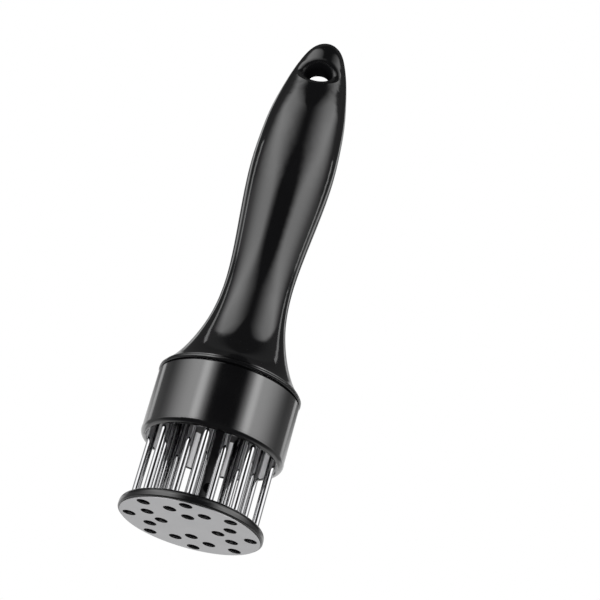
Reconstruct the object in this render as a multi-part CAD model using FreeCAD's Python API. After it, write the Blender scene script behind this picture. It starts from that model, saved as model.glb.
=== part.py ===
import FreeCAD, Part
import math
import os

from FreeCAD import Vector

# Blade meat tenderizer: a black handle with a drum full of round spear-pointed blades, and a
# sprung round foot that the blades pass through. Pressing the handle down pushes the foot up
# against its spring, and the blades come out through the steel face.
#
# Millimetres. +Z runs up the handle's axis, the steel face rests on z = 0 with the foot fully
# out, and the hang hole near the tip runs along Y.

# Blades
blade_radius = 1.5
blade_setback = 1.2  # the points wait this far above the resting face
point_length = 3.6
point_nose = 1.8  # the last part, ground from all four sides
point_thickness = 0.5  # across the flat bevels, at the very point
point_width = 0.9
ring_counts = [4, 8, 8]  # inner, middle and outer ring
ring_turns = [0.0, 0.5, 0.0]  # start of each ring, in steps of that ring
hub_margin = 1.3  # between the inner blades and the hub
lip_margin = 0.6  # between the outer blades and the drum's lip
pattern_turn = 0.0  # degrees from +X to the first blade of the inner ring

# Steel face and foot
face_thickness = 0.7
face_proud = 0.35  # how far the face stands out of the foot
face_clearance = 0.1
foot_overhang = 0.2  # how far the foot is wider than the drum
foot_rim = 0.7  # black rim round the face
foot_height = 4.1  # resting face to the foot's top
foot_top_rounding = 2.2
foot_low_rounding = 0.5
blade_passage = 1.0  # clearance round a blade in the foot and the face
socket_wall = 2.6
socket_height = 2.5
socket_clearance = 0.05

# Guide stem, a tube closed at its lower end
stem_radius = 4.5
stem_bore_radius = 2.9
stem_floor = 8.4  # solid lower end, which takes the foot screw
wash_hole_radius = 2.1
wash_hole_lift = 0.3  # above the floor of the stem's bore
wash_hole_turn = -45.0  # from the first blade's bearing
collar_width = 2.5
collar_thickness = 2.0
stem_edge = 0.4

# Travel
travel = 25.2
rim_gap = 0.5  # left between foot and drum at full travel
stop_gap = 0.1  # left under the collar at rest
slide_clearance = 0.08  # stem in hub

# Drum and its bright liner
drum_radius = 27.3
drum_wall = 1.5
drum_height = 25.4
drum_web = 2.0
drum_recess = 1.8  # depth of the spigot's seat above the web
drum_edge = 0.4
lip_proud = 0.1
lip_rounding_share = 0.78  # of the lip's width
lip_rise = 0.4  # straight above the rounding
lip_edge = 0.2
ledge_width = 0.7  # the ledge inside the lip, which the liner stands on
ledge_height = 0.5
liner_thickness = 0.45
liner_clearance = 0.05
web_passage = 0.3  # clearance round the stem in web and backing plate

# Blade holder and backing plate
backing_thickness = 1.0
holder_thickness = 6.0
holder_clearance = 0.1
holder_edge = 0.6
seat_clearance = 0.05
hub_wall = 3.4
hub_length = 6.4
gusset_thickness = 1.6
gusset_lift = 0.4  # above the hub's lower end

# Four holder screws
screw_count = 4
screw_inset = 3.0  # from the middle ring of blades in to the screws
screw_radius = 1.6
screw_head_radius = 3.0
screw_head_height = 2.2
screw_grip = 9.0  # thread length in the handle's bosses
screw_clearance = 0.25
screw_head_edge = 0.7
socket_size = 2.5  # across the corners of the hexagon drive
socket_depth = 1.3

# Foot screw, countersunk
foot_screw_radius = 1.5
foot_screw_head_radius = 3.4
foot_screw_head_height = 2.0
foot_screw_grip = 6.0
foot_screw_clearance = 0.15
slot_width = 1.0
slot_depth = 0.8

# Handle base
parting_gap = 0.6
spigot_clearance = 0.2
spigot_wall = 2.2
flange_overhang = 0.3  # how far the flange is wider than the drum
flange_height = 1.6
flange_rounding_share = 0.42  # of the flange's height
step_setback = 0.1  # from the flange's rounding in to the step above it
step_height = 0.5
shell_wall = 2.6
boss_radius = 3.4
rib_thickness = 1.6
chamber_rise = 21.6  # from the flare's foot to the roof inside it

# Handle outline. Each stretch is given by its length and end widths, and by points between them
# as shares of its length and of the change in half width.
flare_setback = 0.15  # from the step in to the flare's foot
neck_rise = 43.1  # from the flare's foot to the neck
neck_radius = 13.1
belly_rise = 51.5  # from the neck to the belly
belly_radius = 16.7
tip_rise = 58.9  # from the belly to the tip
flare_shares = [(0.085, 0.217), (0.19, 0.415), (0.366, 0.662), (0.6, 0.882), (0.81, 0.978)]
swell_shares = [(0.21, 0.14), (0.485, 0.5), (0.74, 0.835)]
crown_shares = [(0.2, 0.024), (0.4, 0.087), (0.59, 0.21), (0.745, 0.345)]
crown_shares += [(0.87, 0.498), (0.95, 0.657), (0.988, 0.82)]
flattening_share = 0.44  # share of the width that the thickness loses at the tip
flattening_length = 42.0  # over which it is lost
flattening_end = 4.4  # below the tip
grip_wall = 3.2
spring_passage = 7.5  # from the spring's seat up to the hollow grip
tip_web = 9.0  # solid between the hollow and the hang hole

# Hang hole
hang_hole_radius = 4.4
hang_hole_drop = 17.8  # below the tip
hang_mouth_rounding = 2.9
mouth_wall_share = 0.45  # the most of the wall beside the hole that the rounding takes

# Return spring, of square wire, and its seat washer
spring_wire = 1.3
spring_turns = 6.0
spring_tube_clearance = 0.5
spring_tube_wall = 2.3
spring_rest_length = 40.0
spring_side_gap = 0.3
spring_seat_thickness = 1.0
spring_seat_hole = 4.0
seat_side_clearance = 0.1

# Tools and sections
overrun = 1.0  # how far every cut runs past the material
pilot_spare = 1.0  # depth of a screw hole past the screw's tip
skin_sections = 34
hollow_sections = 12
flare_sections = 8

# Heights that follow from the sizes above
foot_bottom = face_proud
foot_floor = face_thickness
socket_top = foot_height + socket_height
drum_bottom = foot_height + travel + rim_gap
drum_top = drum_bottom + drum_height
web_top = drum_top - drum_recess
web_bottom = web_top - drum_web
holder_top = web_bottom - backing_thickness
holder_bottom = holder_top - holder_thickness
hub_bottom = holder_bottom - hub_length
ledge = drum_bottom + ledge_height
flange_bottom = drum_top + parting_gap
flange_top = flange_bottom + flange_height
flare_foot = flange_top + step_height
chamber_roof = flare_foot + chamber_rise
neck_height = flare_foot + neck_rise
belly_height = neck_height + belly_rise
overall_length = belly_height + tip_rise
collar_bottom = web_top + stop_gap
collar_top = collar_bottom + collar_thickness
spring_top = collar_top + spring_rest_length
seat_top = spring_top + spring_seat_thickness
stem_bore_floor = foot_height + stem_floor
hang_hole_height = overall_length - hang_hole_drop
hollow_start = seat_top + spring_passage
hollow_end = hang_hole_height - hang_hole_radius - tip_web

# Radii that follow
foot_radius = drum_radius + foot_overhang
face_radius = foot_radius - foot_rim - face_clearance
drum_bore = drum_radius - drum_wall
liner_outer = drum_bore - liner_clearance
liner_inner = liner_outer - liner_thickness
lip_inner = drum_bore - ledge_width
lip_radius = drum_radius + lip_proud
lip_rounding = lip_rounding_share * (lip_radius - lip_inner)
holder_radius = liner_inner - holder_clearance
collar_radius = stem_radius + collar_width
spring_tube_bore = collar_radius + spring_tube_clearance
spring_tube_radius = spring_tube_bore + spring_tube_wall
spring_radius = spring_tube_bore - spring_side_gap - spring_wire / 2
hub_bore = stem_radius + slide_clearance
hub_radius = hub_bore + hub_wall
web_hole = stem_radius + web_passage
spigot_radius = drum_bore - spigot_clearance
chamber_mouth = spigot_radius - spigot_wall
flange_radius = drum_radius + flange_overhang
flange_rounding = flange_rounding_share * flange_height
step_radius = flange_radius - flange_rounding - step_setback
flare_foot_radius = step_radius - flare_setback
inner_ring = hub_radius + hub_margin + blade_radius
outer_ring = lip_inner - lip_margin - blade_radius
middle_ring = (inner_ring + outer_ring) / 2
ring_radii = [inner_ring, middle_ring, outer_ring]
screw_circle = middle_ring - screw_inset
screw_length = screw_grip + drum_web + backing_thickness + holder_thickness


def turned(points):
    """A solid of revolution about Z from (radius, height) corners; an arc is a (mid, end) pair."""
    edges = []
    last = Vector(points[0][0], 0, points[0][1])
    for item in points[1:] + [points[0]]:
        if isinstance(item[0], tuple):
            mid = Vector(item[0][0], 0, item[0][1])
            end = Vector(item[1][0], 0, item[1][1])
            edges.append(Part.Arc(last, mid, end).toShape())
        else:
            end = Vector(item[0], 0, item[1])
            edges.append(Part.makeLine(last, end))
        last = end
    return Part.Face(Part.Wire(edges)).revolve(Vector(), Vector(0, 0, 1), 360)


def rounded(centre, radius, start, end):
    """The (mid, end) pair of an arc about a centre, between two angles in degrees."""
    pair = []
    for angle in ((start + end) / 2, end):
        turn = math.radians(angle)
        pair.append((centre[0] + radius * math.cos(turn), centre[1] + radius * math.sin(turn)))
    return tuple(pair)


def rod(radius, bottom, top, x=0.0, y=0.0):
    """An upright cylinder between two heights."""
    return Part.makeCylinder(radius, top - bottom, Vector(x, y, bottom))


def on_circle(radius, degrees):
    """The (x, y) of a point on a circle about the axis."""
    turn = math.radians(degrees)
    return radius * math.cos(turn), radius * math.sin(turn)


def blade_places():
    """The (x, y, bearing) of each blade, ring by ring."""
    places = []
    for radius, count, turn in zip(ring_radii, ring_counts, ring_turns):
        step = 360.0 / count
        for index in range(count):
            bearing = pattern_turn + step * (index + turn)
            places.append(on_circle(radius, bearing) + (bearing,))
    return places


def screw_places():
    """The (x, y, bearing) of the holder screws, midway between the inner blades."""
    step = 360.0 / screw_count
    bearings = [pattern_turn + step * (index + 0.5) for index in range(screw_count)]
    return [on_circle(screw_circle, bearing) + (bearing,) for bearing in bearings]


def drilled(shape, places, radius, bottom, top):
    """The shape with one upright hole at each place."""
    holes = [rod(radius, bottom - overrun, top + overrun, x, y) for x, y, bearing in places]
    return shape.cut(Part.makeCompound(holes))


def face_plate():
    """The thin stainless face that rests on the meat."""
    disc = rod(face_radius, 0, face_thickness)
    return drilled(disc, blade_places(), blade_radius + blade_passage, 0, face_thickness)


def foot_plate():
    """The black foot: a rounded disc with a seat for the face and a socket for the stem."""
    top_corner = (foot_radius - foot_top_rounding, foot_height - foot_top_rounding)
    low_corner = (foot_radius - foot_low_rounding, foot_bottom + foot_low_rounding)
    seat = face_radius + face_clearance
    socket = stem_radius + socket_clearance
    disc = turned([
        (0, foot_floor),
        (seat, foot_floor),
        (seat, foot_bottom),
        (low_corner[0], foot_bottom),
        rounded(low_corner, foot_low_rounding, -90, 0),
        (foot_radius, top_corner[1]),
        rounded(top_corner, foot_top_rounding, 0, 90),
        (socket + socket_wall, foot_height),
        (socket + socket_wall, socket_top),
        (socket, socket_top),
        (socket, foot_height),
        (0, foot_height),
    ])
    disc = drilled(disc, blade_places(), blade_radius + blade_passage, 0, socket_top)
    disc = disc.cut(rod(foot_screw_radius + foot_screw_clearance, 0, foot_height + overrun))
    return disc.cut(countersink(foot_screw_clearance))


def countersink(extra):
    """The cone of the foot screw's head, grown by a clearance."""
    top = foot_floor + foot_screw_head_height
    wide = foot_screw_head_radius + extra
    narrow = foot_screw_radius + extra
    return Part.makeCone(wide, narrow, top - foot_floor, Vector(0, 0, foot_floor))


def foot_screw():
    """The countersunk screw that pulls the foot up onto the stem."""
    tip = foot_height + foot_screw_grip
    screw = rod(foot_screw_radius, foot_floor, tip).fuse(countersink(0))
    reach = foot_screw_head_radius + overrun
    slot = Part.makeBox(2 * reach, slot_width, slot_depth + overrun)
    slot.translate(Vector(-reach, -slot_width / 2, foot_floor - overrun))
    return screw.cut(slot).removeSplitter()


def guide_stem():
    """The moulded tube that slides in the hub, with its stop collar and wash-out hole."""
    stem = turned([
        (foot_screw_radius, foot_height),
        (stem_radius - stem_edge, foot_height),
        (stem_radius, foot_height + stem_edge),
        (stem_radius, collar_bottom),
        (collar_radius, collar_bottom),
        (collar_radius, collar_top - stem_edge),
        (collar_radius - stem_edge, collar_top),
        (stem_bore_radius, collar_top),
        (stem_bore_radius, stem_bore_floor),
        (0, stem_bore_floor),
        (0, foot_height + foot_screw_grip + pilot_spare),
        (foot_screw_radius, foot_height + foot_screw_grip + pilot_spare),
    ])
    bearing = math.radians(pattern_turn + wash_hole_turn)
    across = Vector(math.cos(bearing), math.sin(bearing), 0)
    middle = Vector(0, 0, stem_bore_floor + wash_hole_radius + wash_hole_lift)
    reach = stem_radius + overrun
    hole = Part.makeCylinder(wash_hole_radius, 2 * reach, middle - across * reach, across)
    return stem.cut(hole)


def blade(x, y, bearing):
    """A round steel blade whose lower end is ground to a flat spear point."""
    tip = blade_setback
    shoulder = tip + point_length
    shank = rod(blade_radius, tip, holder_top)
    flats = ground(point_thickness / 2, blade_radius, tip, shoulder)
    sides = ground(point_width / 2, blade_radius, tip, tip + point_nose)
    sides.rotate(Vector(), Vector(0, 0, 1), 90)
    shank = shank.cut(flats).cut(sides)
    shank.rotate(Vector(), Vector(0, 0, 1), bearing)
    shank.translate(Vector(x, y, 0))
    return shank


def ground(near, far, low, high):
    """The two wedges that grinding takes off both sides of a point."""
    reach = far + overrun
    slope = (far - near) / (high - low)
    outline = [
        Vector(near - slope * overrun, 0, low - overrun),
        Vector(far, 0, high),
        Vector(reach, 0, high),
        Vector(reach, 0, low - overrun),
    ]
    wedge = Part.Face(Part.makePolygon(outline + outline[:1])).extrude(Vector(0, 2 * reach, 0))
    wedge.translate(Vector(0, -reach, 0))
    other = wedge.copy()
    other.rotate(Vector(), Vector(0, 0, 1), 180)
    return Part.makeCompound([wedge, other])


def blade_holder():
    """The disc that carries the blades, with the hub that guides the stem."""
    holder = turned([
        (hub_bore, hub_bottom),
        (hub_radius, hub_bottom),
        (hub_radius, holder_bottom),
        (holder_radius - holder_edge, holder_bottom),
        (holder_radius, holder_bottom + holder_edge),
        (holder_radius, holder_top),
        (hub_bore, holder_top),
    ])
    holder = holder.fuse([gusset(bearing) for x, y, bearing in screw_places()])
    holder = drilled(holder, blade_places(), blade_radius + seat_clearance, holder_bottom, holder_top)
    return drilled(holder, screw_places(), screw_radius + screw_clearance, holder_bottom, holder_top)


def gusset(bearing):
    """One triangular web between the hub and the holder's underside."""
    inner = (hub_bore + hub_radius) / 2
    outer = screw_circle - screw_head_radius - screw_clearance
    outline = [
        Vector(inner, 0, hub_bottom + gusset_lift),
        Vector(hub_radius, 0, hub_bottom + gusset_lift),
        Vector(outer, 0, holder_bottom),
        Vector(outer, 0, holder_bottom + holder_edge),
        Vector(inner, 0, holder_bottom + holder_edge),
    ]
    web = Part.Face(Part.makePolygon(outline + outline[:1])).extrude(Vector(0, gusset_thickness, 0))
    web.translate(Vector(0, -gusset_thickness / 2, 0))
    web.rotate(Vector(), Vector(0, 0, 1), bearing)
    return web


def backing_plate():
    """The steel disc that takes the thrust of the blades."""
    plate = rod(holder_radius, holder_top, web_bottom)
    plate = plate.cut(rod(web_hole, holder_top - overrun, web_bottom + overrun))
    return drilled(plate, screw_places(), screw_radius + screw_clearance, holder_top, web_bottom)


def drum():
    """The black cup round the blades: a lipped wall and a web that the handle seats on."""
    outer_corner = (lip_radius - lip_rounding, drum_bottom + lip_rounding)
    lip_top = outer_corner[1] + lip_rise
    top_corner = (drum_radius - drum_edge, drum_top - drum_edge)
    cup = turned([
        (lip_inner + lip_edge, drum_bottom),
        (outer_corner[0], drum_bottom),
        rounded(outer_corner, lip_rounding, -90, 0),
        (lip_radius, lip_top),
        (drum_radius, lip_top + lip_proud),
        (drum_radius, top_corner[1]),
        rounded(top_corner, drum_edge, 0, 90),
        (drum_bore, drum_top),
        (drum_bore, web_top),
        (web_hole, web_top),
        (web_hole, web_bottom),
        (drum_bore, web_bottom),
        (drum_bore, ledge),
        (lip_inner, ledge),
        (lip_inner, drum_bottom + lip_edge),
    ])
    return drilled(cup, screw_places(), screw_radius + screw_clearance, web_bottom, web_top)


def drum_liner():
    """The thin bright sleeve inside the drum, held between lip and web."""
    return rod(liner_outer, ledge, web_bottom).cut(rod(liner_inner, ledge - overrun, web_bottom + overrun))


def holder_screws():
    """Four pan-head screws, from under the holder up into the handle."""
    head_bottom = holder_bottom - screw_head_height
    screw = turned([
        (0, head_bottom),
        (screw_head_radius - screw_head_edge, head_bottom),
        (screw_head_radius, head_bottom + screw_head_edge),
        (screw_head_radius, holder_bottom),
        (screw_radius, holder_bottom),
        (screw_radius, holder_bottom + screw_length),
        (0, holder_bottom + screw_length),
    ])
    corners = [on_circle(socket_size / 2, 60 * index) for index in range(7)]
    hexagon = Part.makePolygon([Vector(x, y, head_bottom - overrun) for x, y in corners])
    screw = screw.cut(Part.Face(hexagon).extrude(Vector(0, 0, socket_depth + overrun)))
    screws = []
    for x, y, bearing in screw_places():
        one = screw.copy()
        one.translate(Vector(x, y, 0))
        screws.append(one)
    return Part.makeCompound(screws)


def outline_curve():
    """The handle's silhouette from the flare's foot to the tip, as a smooth curve in XZ."""
    points = [Vector(flare_foot_radius, 0, flare_foot)]
    points += stretch(flare_shares, flare_foot, neck_height, flare_foot_radius, neck_radius)
    points += stretch(swell_shares, neck_height, belly_height, neck_radius, belly_radius)
    points += stretch(crown_shares, belly_height, overall_length, belly_radius, 0)
    curve = Part.BSplineCurve()
    curve.interpolate(Points=points, FinalTangent=Vector(-1, 0, 0))
    return curve


def stretch(shares, low, high, start, end):
    """One stretch of the silhouette: points at shares of its height and of its change in half width."""
    places = shares + [(1, 1)]
    return [Vector(start + (end - start) * across, 0, low + (high - low) * up) for up, across in places]


def thinning(height):
    """How thick the handle is at a height, as a share of its width."""
    start = overall_length - flattening_end - flattening_length
    share = min(max((height - start) / flattening_length, 0.0), 1.0)
    return 1.0 - flattening_share * share * share * (3 - 2 * share)


def grip_section(height, half_width, inset=0.0):
    """An oval wire across the handle at a height."""
    half_thickness = half_width * thinning(height)
    centre = Vector(0, 0, height)
    side = Vector(half_width - inset, 0, height)
    front = Vector(0, half_thickness - inset, height)
    return Part.Wire(Part.Ellipse(side, front, centre).toShape())


def handle_skin():
    """The outside of the handle above its base, lofted through ovals from flare to tip."""
    curve = outline_curve()
    first, last = curve.FirstParameter, curve.LastParameter
    sections = []
    for index in range(skin_sections):
        point = curve.value(first + (last - first) * index / skin_sections)
        sections.append(grip_section(point.z, point.x))
    sections.append(Part.Vertex(Vector(0, 0, overall_length)))
    return Part.makeLoft(sections, True)


def grip_hollow():
    """The hollow inside the grip, one wall thickness inside the skin."""
    curve = outline_curve()
    sections = []
    for index in range(hollow_sections + 1):
        height = hollow_start + (hollow_end - hollow_start) * index / hollow_sections
        sections.append(grip_section(height, width_at(curve, height), grip_wall))
    return Part.makeLoft(sections, True)


def width_at(curve, height):
    """The silhouette's half width at a height."""
    level = Part.Plane(Vector(0, 0, height), Vector(0, 0, 1))
    return curve.intersect(level)[0][0].X


def handle_base():
    """The flange that overhangs the drum, the step above it and the spigot that enters the drum."""
    low_corner = (flange_radius - flange_rounding, flange_bottom + flange_rounding)
    top_corner = (flange_radius - flange_rounding, flange_top - flange_rounding)
    return turned([
        (0, web_top),
        (spigot_radius, web_top),
        (spigot_radius, flange_bottom),
        (low_corner[0], flange_bottom),
        rounded(low_corner, flange_rounding, -90, 0),
        (flange_radius, top_corner[1]),
        rounded(top_corner, flange_rounding, 0, 90),
        (step_radius, flange_top),
        (step_radius, flare_foot),
        (0, flare_foot),
    ])


def flare_inset(depth):
    """Points one wall inside the flare, from its foot up to the chamber's roof."""
    curve = outline_curve()
    start = curve.parameter(Vector(flare_foot_radius, 0, flare_foot))
    end = curve.parameter(Vector(width_at(curve, chamber_roof), 0, chamber_roof))
    points = []
    for index in range(flare_sections + 1):
        place = start + (end - start) * index / flare_sections
        along = curve.tangent(place)[0]
        inward = Vector(-along.z, 0, along.x)
        points.append(curve.value(place) + inward * depth)
    return points


def flare_chamber():
    """The room inside the flare, open at the spigot."""
    wall = Part.BSplineCurve()
    inset = flare_inset(shell_wall)
    wall.interpolate(Points=inset)
    low, high = inset[0], inset[-1]
    corners = [
        high,
        Vector(0, 0, high.z),
        Vector(0, 0, web_top - overrun),
        Vector(chamber_mouth, 0, web_top - overrun),
        Vector(chamber_mouth, 0, flange_bottom),
        low,
    ]
    edges = [wall.toShape()]
    edges += [Part.makeLine(one, two) for one, two in zip(corners, corners[1:])]
    return Part.Face(Part.Wire(edges)).revolve(Vector(), Vector(0, 0, 1), 360)


def chamber_posts():
    """What stands in the flare's room: the spring's tube, the screw bosses and their ribs."""
    tube = rod(spring_tube_radius, web_top, chamber_roof + shell_wall)
    posts = []
    for x, y, bearing in screw_places():
        posts.append(rod(boss_radius, web_top, chamber_roof + shell_wall, x, y))
        rib = Part.makeBox(flange_radius, rib_thickness, chamber_roof)
        rib.translate(Vector(0, -rib_thickness / 2, flange_bottom))
        rib.rotate(Vector(), Vector(0, 0, 1), bearing)
        posts.append(rib)
    return tube.fuse(posts)


def spring_room():
    """The bore for collar and spring, and the passage from it into the hollow grip."""
    bore = rod(spring_tube_bore, web_top - overrun, seat_top)
    return bore.fuse(rod(spring_seat_hole, seat_top - overrun, hollow_start + overrun))


def with_hang_hole(body):
    """The body with the hole through its tip, both mouths rounded over."""
    beside = width_at(outline_curve(), hang_hole_height) - hang_hole_radius
    rounding = min(hang_mouth_rounding, mouth_wall_share * beside)
    reach = 2 * belly_radius
    start = Vector(0, -reach, hang_hole_height)
    body = body.cut(Part.makeCylinder(hang_hole_radius, 2 * reach, start, Vector(0, 1, 0)))
    bore = [face for face in body.Faces if isinstance(face.Surface, Part.Cylinder)][0]
    mouths = [edge for edge in bore.Edges if not isinstance(edge.Curve, Part.Line)]
    return body.makeFillet(rounding, mouths)


def handle():
    """The one-piece handle: flared base, hollow grip, spring tube, screw bosses and hang hole."""
    room = flare_chamber()
    shell = handle_base().fuse(with_hang_hole(handle_skin())).cut(room)
    body = shell.fuse(chamber_posts().common(room))
    body = body.cut([spring_room(), grip_hollow()])
    pilot_top = web_top + screw_grip + pilot_spare
    body = drilled(body, screw_places(), screw_radius, web_top, pilot_top)
    return body.removeSplitter()


def return_spring():
    """The square-wire compression spring between the stem's collar and the seat washer."""
    rise = spring_rest_length - spring_wire
    coil = Part.makeHelix(rise / spring_turns, rise, spring_radius)
    half = spring_wire / 2
    signs = [(-1, -1), (1, -1), (1, 1), (-1, 1)]
    corners = [Vector(spring_radius + x * half, 0, z * half) for x, z in signs]
    section = Part.makePolygon(corners + corners[:1])
    spring = Part.Wire(coil.Edges).makePipeShell([section], True, True)
    spring.translate(Vector(0, 0, collar_top + half))
    return spring


def spring_seat():
    """The steel washer that takes the spring's upper end."""
    ring = rod(spring_tube_bore - seat_side_clearance, spring_top, seat_top)
    return ring.cut(rod(spring_seat_hole, spring_top - overrun, seat_top + overrun))


pieces = {
    "face_plate": face_plate(),
    "foot_plate": foot_plate(),
    "foot_screw": foot_screw(),
    "guide_stem": guide_stem(),
    "return_spring": return_spring(),
    "spring_seat": spring_seat(),
    "blade_holder": blade_holder(),
    "backing_plate": backing_plate(),
    "drum": drum(),
    "drum_liner": drum_liner(),
    "holder_screws": holder_screws(),
    "handle": handle(),
}
for number, place in enumerate(blade_places(), 1):
    pieces["blade_%02d" % number] = blade(*place)

os.makedirs("parts", exist_ok=True)
for name, shape in pieces.items():
    shape.exportStep("parts/" + name + ".step")
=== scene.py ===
import math

import bmesh
import bpy
from mathutils import Matrix, Vector


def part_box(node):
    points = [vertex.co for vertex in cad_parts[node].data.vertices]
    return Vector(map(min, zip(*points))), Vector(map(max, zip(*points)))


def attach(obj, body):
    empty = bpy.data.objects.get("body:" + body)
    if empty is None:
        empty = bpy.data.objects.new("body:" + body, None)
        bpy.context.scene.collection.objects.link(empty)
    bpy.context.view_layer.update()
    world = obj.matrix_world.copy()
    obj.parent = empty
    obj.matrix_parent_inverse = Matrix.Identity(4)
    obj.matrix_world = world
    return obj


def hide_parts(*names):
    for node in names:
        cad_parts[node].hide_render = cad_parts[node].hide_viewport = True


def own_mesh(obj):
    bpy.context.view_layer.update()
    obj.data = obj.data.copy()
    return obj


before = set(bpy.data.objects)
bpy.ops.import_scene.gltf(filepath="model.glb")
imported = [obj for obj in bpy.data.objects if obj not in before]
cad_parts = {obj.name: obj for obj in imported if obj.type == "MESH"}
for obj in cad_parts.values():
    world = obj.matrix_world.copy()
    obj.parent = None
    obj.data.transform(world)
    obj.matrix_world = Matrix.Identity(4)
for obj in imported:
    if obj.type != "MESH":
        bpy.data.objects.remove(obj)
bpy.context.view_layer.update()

# Metres, in the frame of the CAD: the steel face rests on z = 0 and +Z runs up the handle.

# Camera
camera_bearing = math.radians(8.5)  # it stands this far round from the front
camera_elevation = math.radians(-17.3)  # it looks up at the steel face
camera_roll = math.radians(16.2)
camera_distance = 0.794  # from the middle of the steel face
camera_clip = 0.01
focal_share = 2159.0 / 600.0  # focal length over the picture's width
face_place = (189.54, 526.89)  # where the middle of the face falls, in pixels of 600
picture_side = 600.0
sensor = 36.0

# Floor and lamps
floor_drop = 0.0004
floor_side = 6.0
floor_colour = (0.86, 0.86, 0.86, 1.0)
lamps = [  # name, power, side, bearing from the front, height in degrees and distance
    ("overhead", 16.0, 1.1, 0.0, 90.0, 1.6),
    ("fill", 4.0, 0.03, 0.0, -17.3, 0.79),
    ("fill_left", 3.0, 0.2, -60.0, -20.0, 0.85),
    ("fill_right", 3.0, 0.2, 60.0, -20.0, 0.85),
    ("rear_left", 4.0, 0.2, -140.0, -20.0, 0.85),
    ("rear_right", 4.0, 0.2, 140.0, -20.0, 0.85),
]

# World. Directions are a bearing from the middle between the two cards, the same to either hand,
# and a height above the horizon, both in degrees. Each change is what ramp takes after its value:
# where it starts and ends, and the level before and after.
card_bearing = math.radians(7.75)  # of the middle between the two cards
card_light = 1.88
card_inner_start = (16.0, 31.3, 18.5, 1.9)  # bearings, by height
card_inner_end = (16.0, 30.2, 42.6, 67.3)
card_outer_start = (19.0, 44.6, 50.1, 80.9)
card_outer_end = 111.0
card_foot = (2.0, 8.0, 0.0, card_light)
card_fades = [
    (15.0, 20.0, 0.9, 1.0), (34.0, 44.0, 1.0, 0.83), (44.0, 58.0, 1.0, 0.78), (58.0, 65.0, 1.0, 0.35),
]
card_crown = (-0.01, 0.01, 55.0, 40.0)  # bearing of the highest place, on the left and the right
card_bow = 0.006  # how fast the top comes down beside it
card_top = (63.5, 67.5, 1.0, 0.0)
side_bearings = (84.0, 106.0, 0.0, 0.22)
side_heights = (19.0, 25.0, 1.0, 0.0)
rear_light = 0.85
low_bearings = (124.0, 146.0, 0.0, rear_light)
low_heights = (18.5, 22.0, 1.0, 0.0)
far_bearings = (158.0, 167.0, 0.0, 0.6)
far_heights = (34.0, 42.0, 1.0, 0.0)
edge_bearings = (20.0, 32.0, 136.0, 156.0)  # by height
edge_sides = (3.0, 9.0, rear_light, 0.0)
edge_foot = (16.0, 20.0)
edge_top = (33.0, 38.0, 1.0, 0.0)
rear_foot = (-24.0, -20.0, 0.03, 1.0)
room_sides = (60.0, 100.0, 0.025, 0.1)
room_rear = (112.0, 126.0, 1.0, 0.65)
under_top = (-28.0, -21.0, 0.3, 0.0)
under_foot = (-75.0, -60.0)
under_bearings = (100.0, 130.0)

# Screen before the drum, which only reflections meet, and narrow lights close behind the cards
screen_distance = 0.3
screen_low = 0.126
screen_high = 0.19
screen_reach = 70.0  # degrees that it runs to each hand
screen_steps = 56
screen_clear = (17.0, 31.0)  # bearings over which it turns from dark to clear
screen_bar_bearing = 40.0
screen_bar = (1.0, 11.0, 1.3, 0.0)  # degrees to each side of the bar, and its light
strip_bearing = math.radians(110.5)
strip_distance = 0.112
strip_width = 0.013
strip_low = 0.148
strip_high = 0.214
strip_power = 0.0023

# Surfaces
broad_scale = 90.0  # of the broad unevenness, per metre
broad_share = 0.6  # of it in colour and gloss, against the fine grain
gloss_span = (0.3, 0.7)  # of the noise, over which the gloss goes from end to end
hang_hole_height = 0.1936
hang_hole_radius = 0.0044
hole_shade_edge = (0.0010, 0.0026)  # from the hole's radius out, where its painted shade ends: inside, the surface loses its reflection and turns rough
hole_rough = 0.7
specular = 0.5

# Return spring
spring_wire = 0.0013
spring_turns = 6.0
spring_steps = 36
spring_edge = 0.16  # rounding of the wire's corners, as a share of its width


def put(tree, kind, values=None, **settings):
    """A new node with its settings, and with its inputs set or linked."""
    node = tree.nodes.new(kind)
    for key, value in settings.items():
        setattr(node, key, value)
    for key, value in (values or {}).items():
        socket = node.inputs[key]
        if isinstance(value, bpy.types.NodeSocket):
            tree.links.new(value, socket)
        else:
            socket.default_value = value
    return node


def maths(tree, operation, a, b=0.0):
    return put(tree, "ShaderNodeMath", {0: a, 1: b}, operation=operation).outputs[0]


def times(tree, a, b):
    return maths(tree, "MULTIPLY", a, b)


def most(tree, a, b):
    return maths(tree, "MAXIMUM", a, b)


def ramp(tree, value, start, end, low=0.0, high=1.0, kind="SMOOTHSTEP"):
    """low before start, high after end, and a smooth or straight change between them."""
    values = {"Value": value, "From Min": start, "From Max": end, "To Min": low, "To Max": high}
    node = put(tree, "ShaderNodeMapRange", values, interpolation_type=kind, clamp=True)
    return node.outputs["Result"]


def bearing_of(tree, x, y):
    """Degrees from the front, the same to either hand."""
    return maths(tree, "DEGREES", maths(tree, "ARCTAN2", maths(tree, "ABSOLUTE", x), times(tree, y, -1.0)))


# Camera and studio

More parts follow.
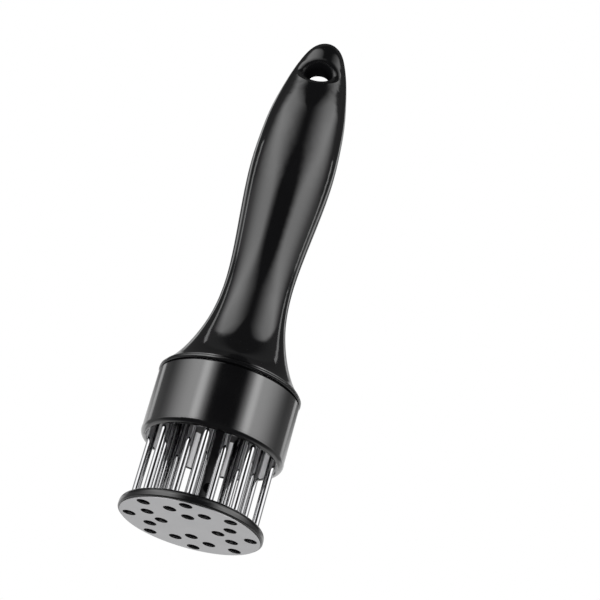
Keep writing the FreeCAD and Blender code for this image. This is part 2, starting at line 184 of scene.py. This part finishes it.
def place_camera():
    focal = focal_share * picture_side
    forward = Vector((0.0, math.cos(camera_elevation), -math.sin(camera_elevation)))
    side = Vector((1.0, 0.0, 0.0))
    down = side.cross(forward)
    half = picture_side / 2.0
    seen = Vector(((face_place[0] - half) / focal, (half - face_place[1]) / focal, -1.0)).normalized()
    level = seen.cross(Vector((0.0, 1.0, 0.0))).normalized()
    upright = level.cross(seen)
    turned = math.cos(camera_roll) * level - math.sin(camera_roll) * upright
    raised = math.sin(camera_roll) * level + math.cos(camera_roll) * upright
    view = Matrix([[turned[i] * side[j] + raised[i] * down[j] + seen[i] * forward[j] for j in range(3)]
                   for i in range(3)])
    data = bpy.data.cameras.new("camera")
    data.sensor_width = sensor
    data.lens = focal_share * sensor
    data.clip_start = camera_clip
    camera = bpy.data.objects.new("camera", data)
    bpy.context.scene.collection.objects.link(camera)
    place = Matrix.Translation(-forward * camera_distance) @ view.transposed().to_4x4()
    camera.matrix_world = Matrix.Rotation(camera_bearing, 4, "Z") @ place
    bpy.context.scene.camera = camera


def card_level(tree, x, bearing, height):
    """The light of the tall card on each side: a soft inner edge that sharpens towards the
    horizon, a soft outer edge that sharpens upwards, and a domed top."""
    inner_start = ramp(tree, height, *card_inner_start, "LINEAR")
    inner_end = ramp(tree, height, *card_inner_end, "LINEAR")
    outer_start = ramp(tree, height, *card_outer_start, "LINEAR")
    spread = times(tree, ramp(tree, bearing, inner_start, inner_end),
                   ramp(tree, bearing, outer_start, card_outer_end, 1.0, 0.0))
    level = ramp(tree, height, *card_foot)
    for fade in card_fades:
        level = times(tree, level, ramp(tree, height, *fade, "LINEAR"))
    off_crown = maths(tree, "SUBTRACT", bearing, ramp(tree, x, *card_crown, "LINEAR"))
    dome = maths(tree, "ADD", height, times(tree, times(tree, off_crown, off_crown), card_bow))
    return times(tree, times(tree, spread, level), ramp(tree, dome, *card_top))


def surround_level(tree, bearing, height):
    """The pale surround low behind the object and far to the rear, the bright edge between the
    two, and the dark room."""
    side = times(tree, ramp(tree, bearing, *side_bearings), ramp(tree, height, *side_heights))
    low = times(tree, ramp(tree, bearing, *low_bearings), ramp(tree, height, *low_heights))
    far = times(tree, ramp(tree, bearing, *far_bearings), ramp(tree, height, *far_heights))
    off_edge = maths(tree, "SUBTRACT", bearing, ramp(tree, height, *edge_bearings, "LINEAR"))
    edge = ramp(tree, maths(tree, "ABSOLUTE", off_edge), *edge_sides)
    edge = times(tree, times(tree, edge, ramp(tree, height, *edge_foot)), ramp(tree, height, *edge_top))
    rear = most(tree, most(tree, low, far), edge)
    rear = times(tree, rear, ramp(tree, height, *rear_foot))
    room = times(tree, ramp(tree, bearing, *room_sides), ramp(tree, bearing, *room_rear))
    return most(tree, most(tree, side, rear), room)


def under_level(tree, bearing, height):
    """A weak light from below behind."""
    under = times(tree, ramp(tree, height, *under_top), ramp(tree, height, *under_foot))
    return times(tree, under, ramp(tree, bearing, *under_bearings))


def light_world():
    """A dark studio with a tall soft card on each side, and a white surround that the camera sees."""
    world = bpy.data.worlds.new("studio")
    bpy.context.scene.world = world
    world.use_nodes = True
    tree = world.node_tree
    tree.nodes.clear()
    direction = put(tree, "ShaderNodeTexCoord").outputs["Generated"]
    turned = put(tree, "ShaderNodeVectorRotate", {"Vector": direction, "Angle": -card_bearing},
                 rotation_type="Z_AXIS").outputs[0]
    x, y, z = put(tree, "ShaderNodeSeparateXYZ", {0: turned}).outputs
    bearing = bearing_of(tree, x, y)
    height = maths(tree, "DEGREES", maths(tree, "ARCSINE", z))
    light = maths(tree, "ADD", card_level(tree, x, bearing, height), under_level(tree, bearing, height))
    light = maths(tree, "ADD", light, surround_level(tree, bearing, height))

    seen = put(tree, "ShaderNodeLightPath").outputs["Is Camera Ray"]
    lit = put(tree, "ShaderNodeMix", {0: seen, 2: light, 3: 1.0}, data_type="FLOAT").outputs[0]
    shader = put(tree, "ShaderNodeBackground", {"Color": (1.0, 1.0, 1.0, 1.0), "Strength": lit})
    put(tree, "ShaderNodeOutputWorld", {"Surface": shader.outputs[0]})


def lay_floor():
    """A pale floor that shows from above and takes the object's shadow, and is clear from below."""
    half = floor_side / 2.0
    mesh = bpy.data.meshes.new("floor")
    corners = [(-half, -half), (half, -half), (half, half), (-half, half)]
    mesh.from_pydata([(x, y, -floor_drop) for x, y in corners], [], [(0, 1, 2, 3)])
    floor = bpy.data.objects.new("floor", mesh)
    bpy.context.scene.collection.objects.link(floor)
    material = bpy.data.materials.new("floor")
    material.use_nodes = True
    tree = material.node_tree
    tree.nodes.clear()
    pale = put(tree, "ShaderNodeBsdfDiffuse", {"Color": floor_colour})
    clear = put(tree, "ShaderNodeBsdfTransparent")
    below = put(tree, "ShaderNodeNewGeometry").outputs["Backfacing"]
    both = put(tree, "ShaderNodeMixShader", {0: below, 1: pale.outputs[0], 2: clear.outputs[0]})
    put(tree, "ShaderNodeOutputMaterial", {"Surface": both.outputs[0]})
    mesh.materials.append(material)
    floor.visible_diffuse = False
    floor.visible_glossy = False
    floor.visible_transmission = False
    floor.visible_shadow = False


def hang_lamps():
    """A soft lamp overhead, a small fill beside the camera that reaches into the drum as far as
    the camera sees, and fills from below round the object. None of them shows in a reflection."""
    for name, power, side, bearing, height, away in lamps:
        data = bpy.data.lights.new(name, "AREA")
        data.shape = "SQUARE"
        data.size = side
        data.energy = power
        lamp = bpy.data.objects.new(name, data)
        turn, lift = math.radians(bearing) + camera_bearing, math.radians(height)
        back = Vector((math.sin(turn) * math.cos(lift), -math.cos(turn) * math.cos(lift), math.sin(lift)))
        lamp.location = back * away
        lamp.rotation_mode = "QUATERNION"
        lamp.rotation_quaternion = back.to_track_quat("Z", "Y")
        lamp.visible_glossy = False
        lamp.visible_camera = False
        bpy.context.scene.collection.objects.link(lamp)


def hang_strips():
    """A narrow upright light close to the grip on each side, behind the cards."""
    for hand in (-1.0, 1.0):
        turn = hand * strip_bearing + camera_bearing
        back = Vector((math.sin(turn), -math.cos(turn), 0.0))
        data = bpy.data.lights.new("strip", "AREA")
        data.shape = "RECTANGLE"
        data.size = strip_width
        data.size_y = strip_high - strip_low
        data.energy = strip_power
        strip = bpy.data.objects.new("strip", data)
        strip.location = back * strip_distance + Vector((0.0, 0.0, (strip_low + strip_high) / 2.0))
        strip.rotation_mode = "QUATERNION"
        strip.rotation_quaternion = back.to_track_quat("Z", "Y")
        strip.visible_camera = False
        bpy.context.scene.collection.objects.link(strip)


def hang_screen():
    """A curved screen that only reflections meet, at the height of the drum's: dark in the
    middle, with a light bar at each end of the dark and clear beyond."""
    points, faces = [], []
    for step in range(screen_steps + 1):
        turn = math.radians(screen_reach * (2.0 * step / screen_steps - 1.0))
        across, ahead = screen_distance * math.sin(turn), -screen_distance * math.cos(turn)
        points += [(across, ahead, screen_low), (across, ahead, screen_high)]
    for step in range(screen_steps):
        first = 2 * step
        faces.append((first, first + 2, first + 3, first + 1))
    mesh = bpy.data.meshes.new("screen")
    mesh.from_pydata(points, [], faces)
    screen = bpy.data.objects.new("screen", mesh)
    screen.rotation_euler = (0.0, 0.0, card_bearing)
    bpy.context.scene.collection.objects.link(screen)
    material = bpy.data.materials.new("screen")
    material.use_nodes = True
    tree = material.node_tree
    tree.nodes.clear()
    place = put(tree, "ShaderNodeTexCoord").outputs["Object"]
    x, y, _ = put(tree, "ShaderNodeSeparateXYZ", {0: place}).outputs
    bearing = bearing_of(tree, x, y)
    through = ramp(tree, bearing, *screen_clear)
    tone = put(tree, "ShaderNodeCombineColor", {0: through, 1: through, 2: through}).outputs[0]
    aside = maths(tree, "ABSOLUTE", maths(tree, "SUBTRACT", bearing, screen_bar_bearing))
    bar = ramp(tree, aside, *screen_bar)
    clear = put(tree, "ShaderNodeBsdfTransparent", {"Color": tone})
    glow = put(tree, "ShaderNodeEmission", {"Color": (1.0, 1.0, 1.0, 1.0), "Strength": bar})
    both = put(tree, "ShaderNodeAddShader", {0: clear.outputs[0], 1: glow.outputs[0]})
    put(tree, "ShaderNodeOutputMaterial", {"Surface": both.outputs[0]})
    mesh.materials.append(material)
    screen.visible_camera = False
    screen.visible_diffuse = False
    screen.visible_transmission = False
    screen.visible_shadow = False


# Materials

def hole_painted_shade(tree, place):
    """0 in the hang hole, which is made rough and has its reflection taken out as painted shade, and 1
    outside its mouths.
    """
    x, _, z = put(tree, "ShaderNodeSeparateXYZ", {0: place}).outputs
    rise = maths(tree, "SUBTRACT", z, hang_hole_height)
    away = maths(tree, "SQRT", maths(tree, "ADD", times(tree, x, x), times(tree, rise, rise)))
    return ramp(tree, away, hang_hole_radius + hole_shade_edge[0], hang_hole_radius + hole_shade_edge[1])


def finish_material(name, colour, deep, rough, grain, bump, stretch=(1.0, 1.0, 1.0), shade_mask=None, **fixed):
    """A surface whose colour and gloss wander a little, with a fine grain in its relief.

    colour and deep are the two colours it wanders between, rough the two ends of its roughness,
    grain the grain's size in metres and bump its depth in metres. The optional mask says where it is rough
    and has no reflection, which paints shade into a hollow."""
    material = bpy.data.materials.new(name)
    material.use_nodes = True
    tree = material.node_tree
    tree.nodes.clear()
    place = put(tree, "ShaderNodeTexCoord").outputs["Object"]
    stretched = put(tree, "ShaderNodeMapping", {"Vector": place, "Scale": stretch}).outputs[0]
    noise = {"Vector": place, "Scale": broad_scale, "Detail": 3.0}
    broad = put(tree, "ShaderNodeTexNoise", noise).outputs[0]
    noise = {"Vector": stretched, "Scale": 1.0 / grain, "Detail": 2.0}
    fine = put(tree, "ShaderNodeTexNoise", noise).outputs[0]
    mixed = maths(tree, "ADD", times(tree, broad, broad_share), times(tree, fine, 1.0 - broad_share))
    colours = {0: mixed, 6: (*deep, 1.0), 7: (*colour, 1.0)}
    tint = put(tree, "ShaderNodeMix", colours, data_type="RGBA").outputs[2]
    gloss = ramp(tree, mixed, *gloss_span, *rough, "LINEAR")
    relief = put(tree, "ShaderNodeBump", {"Strength": 1.0, "Distance": bump, "Height": fine}).outputs[0]
    values = {"Base Color": tint, "Roughness": gloss, "Normal": relief}
    # Painted shade: where the mask is 0 the reflection is taken out and the surface turns rough, so the
    # hollow renders dark
    if shade_mask:
        unshaded = shade_mask(tree, place)
        ends = {0: unshaded, 2: hole_rough, 3: gloss}
        values["Roughness"] = put(tree, "ShaderNodeMix", ends, data_type="FLOAT").outputs[0]
        values["Specular IOR Level"] = times(tree, unshaded, specular)
    surface = put(tree, "ShaderNodeBsdfPrincipled", {**values, **fixed})
    put(tree, "ShaderNodeOutputMaterial", {"Surface": surface.outputs[0]})
    return material


def make_materials():
    black = (0.0045, 0.0045, 0.0050)
    blacker = (0.0020, 0.0020, 0.0022)
    made = {}
    # The handle's hang hole gets painted shade: no reflection inside it
    made["handle_black"] = finish_material(
        "handle_black", black, blacker, (0.06, 0.10), 0.0012, 0.000001, shade_mask=hole_painted_shade, IOR=1.8)
    made["foot_black"] = finish_material(
        "foot_black", black, blacker, (0.14, 0.22), 0.0009, 0.000001, IOR=1.8)
    made["drum_black"] = finish_material(
        "drum_black", black, blacker, (0.13, 0.19), 0.0006, 0.000001, IOR=1.5,
        **{"Coat Weight": 1.0, "Coat Roughness": 0.09, "Coat IOR": 1.8})
    made["stem_black"] = finish_material(
        "stem_black", black, blacker, (0.42, 0.55), 0.0005, 0.000004)
    made["holder_black"] = finish_material(
        "holder_black", black, blacker, (0.42, 0.55), 0.0005, 0.000004)
    made["face_steel"] = finish_material(
        "face_steel", (0.66, 0.66, 0.67), (0.60, 0.60, 0.61), (0.34, 0.42), 0.0004, 0.000002,
        Metallic=1.0)
    made["liner_grey"] = finish_material(
        "liner_grey", (0.80, 0.80, 0.81), (0.74, 0.74, 0.75), (0.50, 0.62), 0.0004, 0.000003)
    made["plate_steel"] = finish_material(
        "plate_steel", (0.56, 0.56, 0.57), (0.50, 0.50, 0.51), (0.30, 0.40), 0.0005, 0.000002,
        Metallic=1.0)
    made["blade_steel"] = finish_material(
        "blade_steel", (0.62, 0.62, 0.63), (0.55, 0.55, 0.56), (0.04, 0.09), 0.0004, 0.0000004,
        (1.0, 1.0, 0.03), Metallic=1.0)
    made["screw_steel"] = finish_material(
        "screw_steel", (0.62, 0.62, 0.63), (0.54, 0.54, 0.55), (0.22, 0.32), 0.0004, 0.000002,
        Metallic=1.0)
    made["spring_steel"] = finish_material(
        "spring_steel", (0.54, 0.54, 0.55), (0.44, 0.44, 0.45), (0.20, 0.34), 0.0005, 0.000002,
        Metallic=1.0)
    return made


def dress_nodes(made):
    """Gives every CAD node the full material that its slot stands for."""
    by_node = {
        "handle": "handle_black", "drum": "drum_black", "foot_plate": "foot_black",
        "guide_stem": "stem_black", "blade_holder": "holder_black", "face_plate": "face_steel",
        "drum_liner": "liner_grey", "backing_plate": "plate_steel", "spring_seat": "plate_steel",
        "holder_screws": "screw_steel", "foot_screw": "screw_steel", "return_spring": "spring_steel",
    }
    for name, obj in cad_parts.items():
        material = made[by_node.get(name, "blade_steel")]
        if not obj.material_slots:
            obj.data.materials.append(material)
        for slot in obj.material_slots:
            slot.material = material


# Return spring

def wire_section():
    """The square wire's outline with rounded corners, as (across, along) from its middle."""
    half = spring_wire / 2.0
    rounding = spring_wire * spring_edge
    section = []
    for across, along in ((1, 1), (-1, 1), (-1, -1), (1, -1)):
        corner = math.atan2(along, across)
        for step in (-1, 0, 1):
            angle = corner + step * math.pi / 4.0
            section.append(((half - rounding) * across + rounding * math.cos(angle),
                            (half - rounding) * along + rounding * math.sin(angle)))
    return section


def build_spring(material):
    """The coil in the place of the CAD node."""
    low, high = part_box("return_spring")
    middle = (high.x - low.x) / 2.0 - spring_wire / 2.0
    rise = high.z - low.z - spring_wire
    section = wire_section()
    mesh = bmesh.new()
    rings = []
    count = int(spring_turns * spring_steps)
    for step in range(count + 1):
        share = step / count
        angle = share * spring_turns * 2.0 * math.pi
        height = low.z + spring_wire / 2.0 + rise * share
        ring = []
        for across, along in section:
            radius = middle + across
            spot = (radius * math.cos(angle), radius * math.sin(angle), height + along)
            ring.append(mesh.verts.new(spot))
        rings.append(ring)
    size = len(section)
    for first, second in zip(rings, rings[1:]):
        for i in range(size):
            mesh.faces.new((first[i], first[(i + 1) % size], second[(i + 1) % size], second[i]))
    mesh.faces.new(rings[0])
    mesh.faces.new(rings[-1])
    bmesh.ops.recalc_face_normals(mesh, faces=mesh.faces)
    data = bpy.data.meshes.new("coil_spring")
    mesh.to_mesh(data)
    mesh.free()
    data.shade_smooth()
    data.materials.append(material)
    spring = bpy.data.objects.new("coil_spring", data)
    bpy.context.scene.collection.objects.link(spring)
    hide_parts("return_spring")
    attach(spring, "handle_and_drum")
    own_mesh(spring)


place_camera()
light_world()
lay_floor()
hang_lamps()
hang_strips()
hang_screen()
materials = make_materials()
dress_nodes(materials)
build_spring(materials["spring_steel"])

bpy.context.scene.view_settings.view_transform = "Standard"
